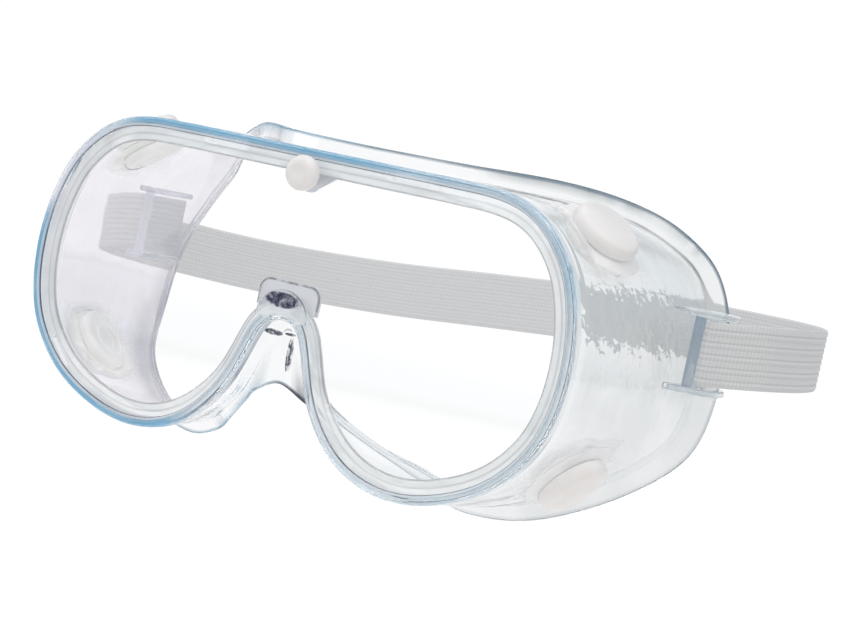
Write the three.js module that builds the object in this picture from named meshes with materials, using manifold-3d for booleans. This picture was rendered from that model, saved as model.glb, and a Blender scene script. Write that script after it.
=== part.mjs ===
// Safety goggles with a soft clear moulded body, a flat clear lens, four covered
// vents and an elastic head strap.
//
// Millimetres. +Z is up, -Y is the way the wearer looks, +X is the wearer's left.
// The origin lies on the mirror plane, in the plane of the rim's front edge, at the
// middle of the lens.
import * as THREE from 'three';
import { mergeVertices } from 'three/addons/utils/BufferGeometryUtils.js';
import Module from 'manifold-3d';

const wasm = await Module();
wasm.setup();

// ---- rim and lens dimensions ------------------------------------------------------
// Distances ending in _IN run inwards from the rim's outer edge.
const RIM_BAND_Y = [-0.2, 2.6];  // front and back of the rim's outer band
const LIP_SHOULDER = [0.6, -1.3];  // rounding of the front lip: distance in, y
const LIP_CREST = [1.6, -1.7];   // foremost line of the front lip: distance in, y
const LIP_WIDTH = 2.6;           // front lip, outer edge to inner edge
const LIP_EDGE_Y = -1.0;         // front of the lip at its inner edge
const GROOVE_IN = 0.95;          // lens groove floor
const GROOVE_FRONT_Y = -0.5;
const GROOVE_BACK_Y = 1.1;
const LEDGE_WIDTH = 6.2;         // ledge behind the lens, in from the outer edge
const LEDGE_NARROWING = 1.0;     // how much narrower the ledge is at the nose arch
const NARROWING_SPAN = [0.82, 0.93];  // where it narrows, as fractions of the half rim
const LEDGE_BACK_Y = 2.3;
const LENS_IN = 1.3;
const LENS_FRONT_Y = -0.2;
const LENS_THICK = 1.0;

// Rim outer edge, +X half from the top middle round to the nose arch: [x, z].
const RIM = [
  [0, 40.4], [20, 40.4], [40, 40.4], [50, 40.1], [57, 38.8], [63, 36.0], [68.5, 31.2],
  [73, 24.8], [76, 17], [77.7, 8], [77.9, -1], [76.8, -9], [74.3, -16.5], [70.3, -22.8],
  [65.3, -28], [59.5, -32], [53, -35], [46, -37.1], [39, -37.9], [32, -37.1], [26, -35],
  [20.8, -31.8], [16.8, -28], [13.6, -23.9], [10.9, -19.2], [8.8, -14], [7.0, -9],
  [5.4, -5.4], [3.2, -3.1], [0, -2.3],
];

// ---- wall and face flange dimensions ----------------------------------------------
const STEP_IN = 0.9;             // the wall starts this far in, behind the rim band
const STEP_Y = 3.4;
const WALL = 1.8;                // side wall thickness
const WALL_LEAN = 0.35;          // backward lean of the direction the wall thickens in
const WALL_BULGE = 0.9;          // outward swell of the wall
const FULL_BULGE_LENGTH = 30;    // walls shorter than this swell less
const FLANGE = 1.4;              // face flange thickness
const FLANGE_NOSING = 0.35;      // how far the flange's rim stands out at mid thickness

// Rows of [rim x, z], [fold x, y, z], [face edge x, y, z]: where the wall, which
// starts at the rim, folds into the face flange, and where the flange ends.
const FACE = [
  [[0, 40.4], [0, 22.5, 39.4], [0, 24, 42.6]],
  [[22, 40.4], [24.5, 27.5, 40.0], [25, 29, 43.8]],
  [[42, 40.4], [43.5, 44, 40.8], [45.5, 46.5, 44.9]],
  [[54, 39.4], [56, 58.5, 40.0], [58.5, 60.5, 44.1]],
  [[62.5, 36.3], [66, 68.5, 36.6], [69.1, 70.5, 40.4]],
  [[69.5, 30.0], [74, 77, 30], [77.8, 80, 32.5]],
  [[75, 20], [80.3, 77, 19], [84.5, 80, 20]],
  [[77.9, 4], [83.4, 72.3, 5], [87.7, 75, 5]],
  [[75.2, -14.5], [82, 66.5, -14], [86, 69.3, -15.5]],
  [[66.5, -27], [73, 53.5, -26], [76, 56, -28.7]],
  [[54, -34.6], [57.3, 42, -35.3], [59, 44, -39]],
  [[39, -37.9], [42.5, 34.3, -37.4], [43, 36, -41.3]],
  [[28, -35.8], [32.3, 29.5, -33.8], [31.5, 31, -37.5]],
  [[19.5, -30.7], [22.8, 18.5, -29.2], [22.8, 22.5, -32.0]],
  [[12.2, -21.8], [12.4, 8.8, -21.6], [14.1, 13, -26.0]],
  [[6.7, -8.2], [4.6, 3.8, -9.6], [7.2, 6, -21.3]],
  [[0, -2.3], [0, 3.6, -4.9], [0, 4.2, -18]],
];

// ---- mesh helpers -----------------------------------------------------------------
const vec = (x, y, z) => new THREE.Vector3(x, y, z);
const middle = ([low, high]) => (low + high) / 2;

// Merges coincident vertices, ignoring normals and texture coordinates.
function weld(geometry) {
  geometry.deleteAttribute('normal');
  geometry.deleteAttribute('uv');
  return mergeVertices(geometry, 1e-5);
}

// Flips every triangle in the index list if together they enclose a negative volume.
function faceOutwards(positions, indices) {
  const corner = (i) => vec(...positions.slice(3 * i, 3 * i + 3));
  let volume = 0;
  for (let k = 0; k < indices.length; k += 3) {
    const [a, b, c] = [0, 1, 2].map((j) => corner(indices[k + j]));
    volume += a.dot(b.cross(c)) / 6;
  }
  if (volume >= 0) return;
  for (let k = 0; k < indices.length; k += 3) {
    [indices[k + 1], indices[k + 2]] = [indices[k + 2], indices[k + 1]];
  }
}

// Welded copy without collapsed triangles, its faces turned outwards.
function cleaned(geometry) {
  const result = weld(geometry);
  const source = result.index.array;
  const kept = [];
  for (let k = 0; k < source.length; k += 3) {
    const [a, b, c] = source.slice(k, k + 3);
    if (a !== b && b !== c && a !== c) kept.push(a, b, c);
  }
  faceOutwards(result.attributes.position.array, kept);
  result.setIndex(kept);
  result.computeVertexNormals();
  return result;
}

function solidFromGeometry(geometry, matrix = new THREE.Matrix4()) {
  const welded = weld(geometry.applyMatrix4(matrix));
  return new wasm.Manifold(new wasm.Mesh({
    numProp: 3,
    vertProperties: new Float32Array(welded.attributes.position.array),
    triVerts: new Uint32Array(welded.index.array),
  }));
}

function geometryFromSolid(solid) {
  const mesh = solid.getMesh();
  const geometry = new THREE.BufferGeometry();
  const positions = new Float32Array(mesh.vertProperties);
  geometry.setAttribute('position', new THREE.BufferAttribute(positions, 3));
  geometry.setIndex(new THREE.BufferAttribute(new Uint32Array(mesh.triVerts), 1));
  geometry.computeVertexNormals();
  return geometry;
}

// Skin over a series of closed rings of points. Either the last ring joins the
// first (looped), or both end rings are capped.
function skinRings(rings, looped) {
  const count = rings.length;
  const size = rings[0].length;
  const positions = rings.flat().flatMap(({ x, y, z }) => [x, y, z]);
  const indices = [];
  for (let i = 0; i < (looped ? count : count - 1); i++) {
    const here = i * size;
    const next = ((i + 1) % count) * size;
    for (let j = 0; j < size; j++) {
      const after = (j + 1) % size;
      indices.push(here + j, here + after, next + after);
      indices.push(here + j, next + after, next + j);
    }
  }
  if (!looped) {
    const end = (count - 1) * size;
    for (let j = 1; j < size - 1; j++) {
      indices.push(0, j + 1, j);
      indices.push(end, end + j, end + j + 1);
    }
  }
  faceOutwards(positions, indices);
  const geometry = new THREE.BufferGeometry();
  geometry.setAttribute('position', new THREE.Float32BufferAttribute(positions, 3));
  geometry.setIndex(indices);
  geometry.computeVertexNormals();
  return geometry;
}

// ---- shape helpers ----------------------------------------------------------------
// Frame whose local +Z is the given axis, standing at a point.
function frameOn(at, axis) {
  const turn = new THREE.Quaternion().setFromUnitVectors(vec(0, 0, 1), vec(...axis).normalize());
  return new THREE.Matrix4().compose(vec(...at), turn, vec(1, 1, 1));
}

const shiftTo = (x, y, z) => new THREE.Matrix4().makeTranslation(x, y, z);

// Profile of [radius, height] turned about local +Z.
function turned(profile, segments) {
  const points = profile.map(([radius, height]) => new THREE.Vector2(radius, height));
  return cleaned(new THREE.LatheGeometry(points, segments).rotateX(Math.PI / 2));
}

const boxSolid = (size, matrix) => solidFromGeometry(new THREE.BoxGeometry(...size), matrix);

// Cylinder along the local Z of the matrix, between two heights.
function cylinderSolid(radius, heights, segments, matrix) {
  const length = heights[1] - heights[0];
  const geometry = new THREE.CylinderGeometry(radius, radius, length, segments);
  geometry.rotateX(Math.PI / 2);
  geometry.translate(0, 0, middle(heights));
  return solidFromGeometry(geometry, matrix);
}

function extruded(outline, depth) {
  const shape = new THREE.Shape(outline.map(([x, y]) => new THREE.Vector2(x, y)));
  return new THREE.ExtrudeGeometry(shape, { depth, bevelEnabled: false });
}

// Flat plate in the XZ plane, from an outline of [x, z].
function plateXZ(outline, yFront, yBack) {
  const geometry = extruded(outline, yBack - yFront);
  geometry.rotateX(Math.PI / 2);          // extrusion now runs towards -Y
  geometry.translate(0, yBack, 0);
  return solidFromGeometry(cleaned(geometry));
}

// Flat plate in the XY plane, from an outline of [x, y].
function plateXY(outline, zBottom, zTop) {
  const geometry = extruded(outline, zTop - zBottom).translate(0, 0, zBottom);
  return solidFromGeometry(cleaned(geometry));
}

// Points on an arc, angles in degrees.
function arc(centreX, centreZ, radius, startAngle, endAngle, steps) {
  return Array.from({ length: steps + 1 }, (_, i) => {
    const angle = (startAngle + ((endAngle - startAngle) * i) / steps) * Math.PI / 180;
    return [centreX + radius * Math.cos(angle), centreZ + radius * Math.sin(angle)];
  });
}

// ---- curve helpers ----------------------------------------------------------------
// Points along the first part of a curve, each with its distance s from the start.
function sampleCurve(curve, count, portion) {
  const samples = [];
  for (let i = 0; i <= count; i++) {
    const point = curve.getPoint((i / count) * portion);
    const previous = samples[i - 1];
    const s = previous ? previous.s + point.distanceTo(previous.point) : 0;
    samples.push({ point, s });
  }
  return samples;
}

// Point at distance s, and the index of the sample before it.
function locate(samples, s) {
  let low = 0;
  let high = samples.length - 1;
  while (high - low > 1) {
    const mid = (low + high) >> 1;
    if (samples[mid].s <= s) low = mid;
    else high = mid;
  }
  const [before, after] = [samples[low], samples[high]];
  const point = before.point.clone().lerp(after.point, (s - before.s) / (after.s - before.s));
  return { point, low };
}

// ---- rim outline ------------------------------------------------------------------
const mirrorX = (point) => vec(-point.x, point.y, point.z);

// Adds the mirror images of all but the first and last items, which lie on the plane.
const closeLoop = (half, mirror) => [...half, ...half.slice(1, -1).reverse().map(mirror)];

const RIM_SAMPLES = 1200;
const TANGENT_REACH = 3;         // samples either side used for the rim's direction
const rimLoop = closeLoop(RIM.map(([x, z]) => vec(x, 0, z)), mirrorX);
const rimCurve = new THREE.CatmullRomCurve3(rimLoop, true, 'centripetal');
const halfRim = sampleCurve(rimCurve, RIM_SAMPLES, 0.5);
const HALF_LENGTH = halfRim[RIM_SAMPLES].s;

// Inward direction at distance s along the half rim, and a function giving the
// point a distance inwards at a given y.
function rimAt(s) {
  const { point, low } = locate(halfRim, s);
  const high = low + 1;
  let tangent;
  if (low < TANGENT_REACH) tangent = vec(1, 0, 0);
  else if (high > RIM_SAMPLES - TANGENT_REACH) tangent = vec(-1, 0, 0);
  else {
    const behind = halfRim[low - TANGENT_REACH].point;
    tangent = halfRim[high + TANGENT_REACH].point.clone().sub(behind).normalize();
  }
  // The path is clockwise seen from the front, so inside is on its right.
  const inward = vec(tangent.z, 0, -tangent.x);
  const at = (distance, y) => (
    vec(point.x + inward.x * distance, y, point.z + inward.z * distance)
  );
  return { inward, at };
}

// Stations round half of the rim. They crowd together round peaks of extra density,
// given as fractions of the half rim.
const STATIONS_HALF = 42;
const STATION_STEPS = 2000;      // integration steps
const PEAK_WIDTH = 0.09;
const STATION_PEAKS = [
  { at: 1, extra: 1.2 },         // nose arch
  { at: 0.33, extra: 0.5 },      // upper outer corner
];

function spaceStations() {
  const total = [0];             // running total of density
  for (let i = 1; i <= STATION_STEPS; i++) {
    const fraction = (i - 0.5) / STATION_STEPS;
    const density = STATION_PEAKS.reduce((sum, { at, extra }) => (
      sum + extra * Math.exp(-(((fraction - at) / PEAK_WIDTH) ** 2))
    ), 1);
    total.push(total[i - 1] + density);
  }
  return Array.from({ length: STATIONS_HALF + 1 }, (_, k) => {
    const target = (k / STATIONS_HALF) * total[STATION_STEPS];
    let i = 0;
    while (total[i + 1] < target && i < STATION_STEPS - 1) i++;
    const part = (target - total[i]) / (total[i + 1] - total[i]);
    return ((i + part) / STATION_STEPS) * HALF_LENGTH;
  });
}
const stations = spaceStations();

// Rings of points made at every station, carried right round the rim.
function ringsRoundRim(makeRing) {
  const half = stations.map(makeRing);
  // The two rings on the mirror plane lie exactly on it.
  for (const ring of [half[0], half[STATIONS_HALF]]) {
    for (const point of ring) point.x = 0;
  }
  return closeLoop(half, (ring) => ring.map(mirrorX));
}

// ---- fold and face edge curves ----------------------------------------------------
function nearestOnRim(x, z) {
  const gap = ({ point }) => Math.hypot(point.x - x, point.z - z);
  return halfRim.reduce((best, sample) => (gap(sample) < gap(best) ? sample : best)).s;
}

const mirrorRow = (row, planeS) => ({
  s: 2 * planeS - row.s,
  fold: [-row.fold[0], ...row.fold.slice(1)],
  edge: [-row.edge[0], ...row.edge.slice(1)],
});
const halfRows = FACE.map(([[x, z], fold, edge]) => ({ s: nearestOnRim(x, z), fold, edge }));
// One mirrored row beyond each end keeps the curves smooth across the mirror plane.
const faceRows = [
  mirrorRow(halfRows[1], 0),
  ...halfRows,
  mirrorRow(halfRows.at(-2), HALF_LENGTH),
];

// Hermite spline through the rows; part is 'fold' or 'edge'.
function facePoint(part, s) {
  let k = 1;
  while (k < faceRows.length - 3 && faceRows[k + 1].s <= s) k++;
  const [before, start, end, after] = faceRows.slice(k - 1, k + 3);
  const span = end.s - start.s;
  const t = (s - start.s) / span;
  const t2 = t * t;
  const t3 = t2 * t;
  return vec(...[0, 1, 2].map((axis) => {
    const slope = (from, to) => ((to[part][axis] - from[part][axis]) / (to.s - from.s)) * span;
    return (2 * t3 - 3 * t2 + 1) * start[part][axis]
      + (t3 - 2 * t2 + t) * slope(before, end)
      + (-2 * t3 + 3 * t2) * end[part][axis]
      + (t3 - t2) * slope(start, after);
  }));
}

// ---- vent places ------------------------------------------------------------------
// Centre of the seat on the wall, and the outward axis, on the +X side.
const VENTS = {
  upper: { at: [67.5, 24.9, 34.1], axis: [0.56, -0.22, 0.80] },
  lower: { at: [72.7, 25.2, -24.3], axis: [0.75, -0.10, -0.655] },
};
const VENT_SEGMENTS = 24;

const ventFrames = {};
for (const [level, { at, axis }] of Object.entries(VENTS)) {
  for (const [side, sign] of [['left', 1], ['right', -1]]) {
    const toSide = ([x, y, z]) => [sign * x, y, z];
    ventFrames[`${level}_${side}`] = frameOn(toSide(at), toSide(axis));
  }
}

// ---- stud -------------------------------------------------------------------------
const STUD_POS = [-1.0, 34.0];   // x and z
const STUD_HEAD_R = 4.4;
const STUD_HEAD_EDGE_R = 4.1;    // head radius where its rounded rim ends
const STUD_NECK_R = 2.9;
const STUD_SHANK_R = 1.5;
const STUD_HOLE_R = 1.9;
const STUD_SEGMENTS = 20;

// Hole through the lens and the tab behind it.
const STUD_HOLE_LENGTH = 12;
const STUD_HOLE_Y = 2;           // middle of its length
const studHole = solidFromGeometry(
  new THREE.CylinderGeometry(STUD_HOLE_R, STUD_HOLE_R, STUD_HOLE_LENGTH, STUD_SEGMENTS),
  shiftTo(STUD_POS[0], STUD_HOLE_Y, STUD_POS[1]),
);

// Local +Z points forwards, out of the head.
const makeStud = () => turned([
  [0, -5.2], [1.0, -5.2], [STUD_SHANK_R, -4.5], [STUD_SHANK_R, 0.5],
  [STUD_NECK_R, 0.5], [STUD_NECK_R, 2.0], [STUD_HEAD_EDGE_R, 2.0], [STUD_HEAD_R, 2.3],
  [STUD_HEAD_R, 4.3], [STUD_HEAD_EDGE_R, 4.9], [3.4, 5.3], [0, 5.5],
], STUD_SEGMENTS);

// ---- body -------------------------------------------------------------------------
// Section of the shell at distance s along the half rim.
function bodyRing(s) {
  const { inward, at } = rimAt(s);
  const start = at(STEP_IN, STEP_Y);
  const fold = facePoint('fold', s);
  const edge = facePoint('edge', s);

  // wallIn is square to the wall, back is square to the flange.
  const along = fold.clone().sub(start).normalize();
  const lean = inward.clone().add(vec(0, WALL_LEAN, 0));
  const wallIn = lean.addScaledVector(along, -lean.dot(along)).normalize();
  const out = edge.clone().sub(fold).normalize();
  const back = vec(0, 1, 0).addScaledVector(out, -out.y).normalize();
  const miter = wallIn.clone().add(back).multiplyScalar(1 / (1 + wallIn.dot(back)));

  const swell = Math.min(1, start.distanceTo(fold) / FULL_BULGE_LENGTH) * WALL_BULGE;
  const wall = (t) => (
    start.clone().lerp(fold, t).addScaledVector(wallIn, -swell * Math.sin(Math.PI * t))
  );
  const ledge = LEDGE_WIDTH
    - LEDGE_NARROWING * THREE.MathUtils.smoothstep(s / HALF_LENGTH, ...NARROWING_SPAN);
  return [
    // Rim band and front lip.
    start,
    at(0, RIM_BAND_Y[1]),
    at(0, RIM_BAND_Y[0]),
    at(...LIP_SHOULDER),
    at(...LIP_CREST),
    at(LIP_WIDTH, LIP_EDGE_Y),
    // Lens groove and ledge.
    at(LIP_WIDTH, GROOVE_FRONT_Y),
    at(GROOVE_IN, GROOVE_FRONT_Y),
    at(GROOVE_IN, GROOVE_BACK_Y),
    at(ledge, GROOVE_BACK_Y),
    at(ledge, LEDGE_BACK_Y),
    // Inside of the wall.
    wall(0.06).addScaledVector(wallIn, WALL),
    wall(0.5).addScaledVector(wallIn, WALL),
    fold.clone().addScaledVector(miter, (WALL + FLANGE) / 2),
    // Flange.
    edge.clone().addScaledVector(back, FLANGE),
    edge.clone().addScaledVector(back, FLANGE / 2).addScaledVector(out, FLANGE_NOSING),
    edge,
    fold,
    // Outside of the wall.
    wall(0.66),
    wall(0.33),
  ];
}

// Tabs at the nose, behind and in front of the lens, and the stud tab at the top.
const FRONT_TAB_Y = -1.6;        // front of the nose tab before the lens
const STUD_TAB_BACK_Y = 2.8;
const NOSE_BACK_TAB = [
  [-8.9, 0.2], [8.9, 0.2], ...arc(5.8, 4.3, 3.1, 0, 90, 6), ...arc(-5.8, 4.3, 3.1, 90, 180, 6),
];
const NOSE_FRONT_TAB = arc(0, -2.2, 7.4, 0, 180, 18);
const STUD_TAB = [
  [7.6, 36.5], [-9.6, 36.5], [-8.0, 34.2], ...arc(STUD_POS[0], 32.4, 2.7, 215, 325, 6), [6.0, 34.2],
];

function addTabs(body) {
  return body
    .add(plateXZ(NOSE_BACK_TAB, GROOVE_BACK_Y, LEDGE_BACK_Y))
    .add(plateXZ(NOSE_FRONT_TAB, FRONT_TAB_Y, GROOVE_FRONT_Y))
    .add(plateXZ(STUD_TAB, GROOVE_BACK_Y, STUD_TAB_BACK_Y))
    .subtract(studHole);
}

// Windows through the ledge: centre x and z, size, and slope from +X towards +Z in
// degrees, on the +X side.
const WINDOW_Y = 1.9;
const WINDOWS = [
  { x: 26.9, z: 38.05, size: [11, 2.0, 2.3], slope: 0 },
  { x: 72.3, z: 21.6, size: [9, 2.2, 1.5], slope: -70 },
  { x: 64.6, z: -24.6, size: [9, 2.2, 1.5], slope: 48 },
];

function cutWindows(body) {
  for (const sign of [-1, 1]) {
    for (const { x, z, size, slope } of WINDOWS) {
      const turn = new THREE.Matrix4().makeRotationY((-sign * slope * Math.PI) / 180);
      body = body.subtract(boxSolid(size, shiftTo(sign * x, WINDOW_Y, z).multiply(turn)));
    }
  }
  return body;
}

// Flat round pad in the wall at each vent, with a hole through it. Heights are along
// the vent's axis.
const VENT_HOLE_R = 5.3;
const VENT_BOSS_R = 9.5;
const VENT_FACING_R = VENT_BOSS_R - 0.2;  // area cleared over both faces of the pad
const VENT_BOSS = [-2.2, 0.2];   // inner and outer face of the pad
const VENT_CLEAR = [-9, 9];      // how far the clearing reaches inwards and outwards
const VENT_HOLE = [-12, 6];

function addVentBosses(body) {
  for (const frame of Object.values(ventFrames)) {
    const disc = (radius, heights) => cylinderSolid(radius, heights, VENT_SEGMENTS, frame);
    body = body
      .add(disc(VENT_BOSS_R, VENT_BOSS))
      .subtract(disc(VENT_FACING_R, [VENT_BOSS[1], VENT_CLEAR[1]]))
      .subtract(disc(VENT_FACING_R, [VENT_CLEAR[0], VENT_BOSS[0]]))
      .subtract(disc(VENT_HOLE_R, VENT_HOLE));
  }
  return body;
}

// Strap anchors: a plate above and below the strap, with a post and, behind it, the
// pin the strap loops round. Bars are placed by x and y on the +X side.
const POST = { x: 86.1, y: 54.2, radius: 1.2 };
const PIN = { x: 88.6, y: 57.2, radius: 1.0 };
const BAR_Z = [1.2, 20.8];       // ends of posts and pins, inside the anchor plates
const BAR_SEGMENTS = 14;
const ANCHOR_PLATES_Z = [[19.9, 21.5], [0.5, 2.1]];
const ANCHOR_OUTLINE = [         // [x, y]
  [80.0, 50.5], [84.0, 50.8], [88.5, 52.6], [91.4, 57], [92.2, 63], [91.2, 69],
  [88.6, 73], [85.0, 73.6], [82.6, 70.6],
];

function addStrapAnchors(body) {
  for (const sign of [-1, 1]) {
    const outline = ANCHOR_OUTLINE.map(([x, y]) => [sign * x, y]);
    for (const heights of ANCHOR_PLATES_Z) body = body.add(plateXY(outline, ...heights));
    for (const { x, y, radius } of [POST, PIN]) {
      body = body.add(cylinderSolid(radius, BAR_Z, BAR_SEGMENTS, shiftTo(sign * x, y, 0)));
    }
  }
  return body;
}

function makeBody() {
  const shell = solidFromGeometry(skinRings(ringsRoundRim(bodyRing), true));
  return geometryFromSolid(addStrapAnchors(addVentBosses(cutWindows(addTabs(shell)))));
}

// ---- lens -------------------------------------------------------------------------
function makeLens() {
  const outline = ringsRoundRim((s) => [rimAt(s).at(LENS_IN, 0)]).map(([{ x, z }]) => [x, z]);
  const plate = plateXZ(outline, LENS_FRONT_Y, LENS_FRONT_Y + LENS_THICK);
  return geometryFromSolid(plate.subtract(studHole));
}

// ---- vent seat and cap ------------------------------------------------------------
const VENT_SEAT_R = 8.7;
const VENT_CAP_R = 9.0;
const SEAT_TUBE_R = { inner: 3.7, outer: 5.0 };
const CAP_TUBE_R = { inner: 2.5, outer: 3.4 };

// Disc inside the wall with a tube reaching out through the hole.
const makeVentSeat = () => turned([
  [0, -5.2], [7.9, -5.2], [VENT_SEAT_R, -4.7], [VENT_SEAT_R, -2.7],
  [VENT_SEAT_R - 0.4, -2.3], [SEAT_TUBE_R.outer, -2.3], [SEAT_TUBE_R.outer, 0.4],
  [SEAT_TUBE_R.inner, 0.4], [SEAT_TUBE_R.inner, -4.4], [0, -4.4],
], VENT_SEGMENTS);

// Crossed slots that split the cap's tube into four prongs.
const SLOT_LENGTH = 10;
const SLOT_WIDTH = 2;
const SLOT_Z = [-6, 0.1];

// Domed disc outside the wall with a slotted tube reaching into the seat.
function makeVentCap() {
  let cap = solidFromGeometry(turned([
    [0, 0.6], [CAP_TUBE_R.inner, 0.6], [CAP_TUBE_R.inner, -4.0], [CAP_TUBE_R.outer, -4.0],
    [CAP_TUBE_R.outer, 0.5], [8.3, 0.5], [8.85, 0.9],
    [VENT_CAP_R, 1.6], [8.9, 2.9], [8.3, 3.7], [7.2, 4.2], [0, 4.5],
  ], VENT_SEGMENTS));
  for (const [x, y] of [[SLOT_LENGTH, SLOT_WIDTH], [SLOT_WIDTH, SLOT_LENGTH]]) {
    cap = cap.subtract(boxSolid([x, y, SLOT_Z[1] - SLOT_Z[0]], shiftTo(0, 0, middle(SLOT_Z))));
  }
  return geometryFromSolid(cap);
}

// ---- strap ------------------------------------------------------------------------
const STRAP_WIDTH = 16.4;
const STRAP_THICK = 1.2;
const STRAP_Z = 11;              // middle of the strap's width at the pins
const PIN_GAP = 0.35;            // between the pin and the strap round it
const STRAP_WRAP = 0.29;         // angle at which the strap leaves each pin, radians
const WRAP_STEPS = 10;
const STRAP_END = [0.5, 9.5];    // the fixed strap ends, along the path from each pin
const STRAP_END_STEPS = 5;
const STRAP_BAND_START = 13.5;   // where the band starts, along the path from each pin
const STRAP_BAND_STEPS = 56;
const STRAP_SAMPLES = 2000;

// End of the strap behind each pin: [x, y].
const STRAP_TAIL = [[84.7, 70.4], [85.2, 67], [86.0, 62.5], [86.65, 59.4]];

// Middle of the strap's width, from the wearer's left pin round the back: [x, y, z].
const STRAP_PATH = [
  [89.16, 55.33, 11], [95.5, 57.5, 11.8], [102, 63, 12.8], [106, 72.5, 13.5],
  [107.3, 84.5, 14.0], [105.5, 97, 14.4], [98.5, 108.5, 14.6], [86, 116.5, 14.5],
  [67, 120.5, 14.0], [36, 121, 12.3], [0, 121, 8.9], [-36, 121, 5.2], [-68, 120.5, 3.1],
  [-88, 116.5, 2.6], [-102, 108.5, 3.0], [-110, 97, 3.9], [-113, 84.5, 5.0],
  [-112, 73, 6.5], [-106.5, 63.5, 8.3], [-97, 57.9, 10.0], [-89.16, 55.33, 11],
];
const strapPoints = STRAP_PATH.map((point) => vec(...point));
const strapCurve = new THREE.CatmullRomCurve3(strapPoints, false, 'centripetal');
const strapSamples = sampleCurve(strapCurve, STRAP_SAMPLES, 1);
const STRAP_LENGTH = strapSamples[STRAP_SAMPLES].s;

// Evenly spaced points between two distances along the strap path.
function strapPart(from, to, steps) {
  return Array.from({ length: steps + 1 }, (_, k) => (
    locate(strapSamples, from + ((to - from) * k) / steps).point
  ));
}

// Strap along a line of points, its width upright.
function ribbon(points) {
  const rings = points.map((point, i) => {
    const before = points[Math.max(0, i - 1)];
    const after = points[Math.min(points.length - 1, i + 1)];
    const along = after.clone().sub(before).setZ(0).normalize();
    const across = vec(along.y, -along.x, 0).multiplyScalar(STRAP_THICK / 2);
    const corner = (side, height) => (
      point.clone().addScaledVector(across, side).setZ(point.z + height * STRAP_WIDTH / 2)
    );
    return [corner(1, -1), corner(-1, -1), corner(-1, 1), corner(1, 1)];
  });
  return skinRings(rings, false);
}

// Tail on the inner side of the pin, round the front of it, then out along the path.
function makeStrapEnd(sign) {
  const radius = PIN.radius + PIN_GAP + STRAP_THICK / 2;
  const wrap = Array.from({ length: WRAP_STEPS + 1 }, (_, i) => {
    const angle = Math.PI + (i / WRAP_STEPS) * (0.5 * Math.PI + STRAP_WRAP);
    return [PIN.x + radius * Math.cos(angle), PIN.y + radius * Math.sin(angle)];
  });
  const loop = [...STRAP_TAIL, ...wrap].map(([x, y]) => vec(sign * x, y, STRAP_Z));
  const [from, to] = STRAP_END.map((s) => (sign > 0 ? s : STRAP_LENGTH - s));
  return ribbon([...loop, ...strapPart(from, to, STRAP_END_STEPS)]);
}

const makeStrapBand = () => ribbon(
  strapPart(STRAP_BAND_START, STRAP_LENGTH - STRAP_BAND_START, STRAP_BAND_STEPS),
);

// ---- materials --------------------------------------------------------------------
const plastic = (settings) => new THREE.MeshStandardMaterial({ metalness: 0, ...settings });
const clearSoft = plastic({ color: 0xdfe6ea, roughness: 0.12, transparent: true, opacity: 0.35 });
const clearHard = plastic({ color: 0xf4f8fa, roughness: 0.04, transparent: true, opacity: 0.18 });
const milky = plastic({ color: 0xe6e0da, roughness: 0.42 });
const elastic = plastic({ color: 0xc9cacc, roughness: 0.9 });

// ---- scene graph ------------------------------------------------------------------
const goggles = new THREE.Group();
goggles.name = 'safety_goggles';

function put(name, geometry, material, frame = new THREE.Matrix4()) {
  const mesh = new THREE.Mesh(geometry, material);
  mesh.name = name;
  frame.decompose(mesh.position, mesh.quaternion, mesh.scale);
  goggles.add(mesh);
}

put('goggle_body', makeBody(), clearSoft);
put('lens', makeLens(), clearHard);
put('lens_stud', makeStud(), milky, frameOn([STUD_POS[0], 0, STUD_POS[1]], [0, -1, 0]));
const ventSeat = makeVentSeat();
const ventCap = makeVentCap();
for (const [place, frame] of Object.entries(ventFrames)) {
  put(`vent_seat_${place}`, ventSeat, milky, frame);
  put(`vent_cap_${place}`, ventCap, milky, frame);
}
put('strap_end_left', makeStrapEnd(1), elastic);
put('strap_end_right', makeStrapEnd(-1), elastic);
put('strap_band', makeStrapBand(), elastic);

export default goggles;
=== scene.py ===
"""Clear swimming-mask style goggles: soft body, lens sheet, lens stud, four vents, elastic strap.

The lens lies in the XZ plane near y = 0 and looks along -Y. The face opening and the strap
are behind it on +Y, +Z is up, the parts named "left" are on +X, and the nose is at x = 0,
low on the rim. Sizes are in mm and become metres when meshes are made.
"""
import bpy, bmesh, math
import numpy as np
from mathutils import Vector, Matrix


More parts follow.
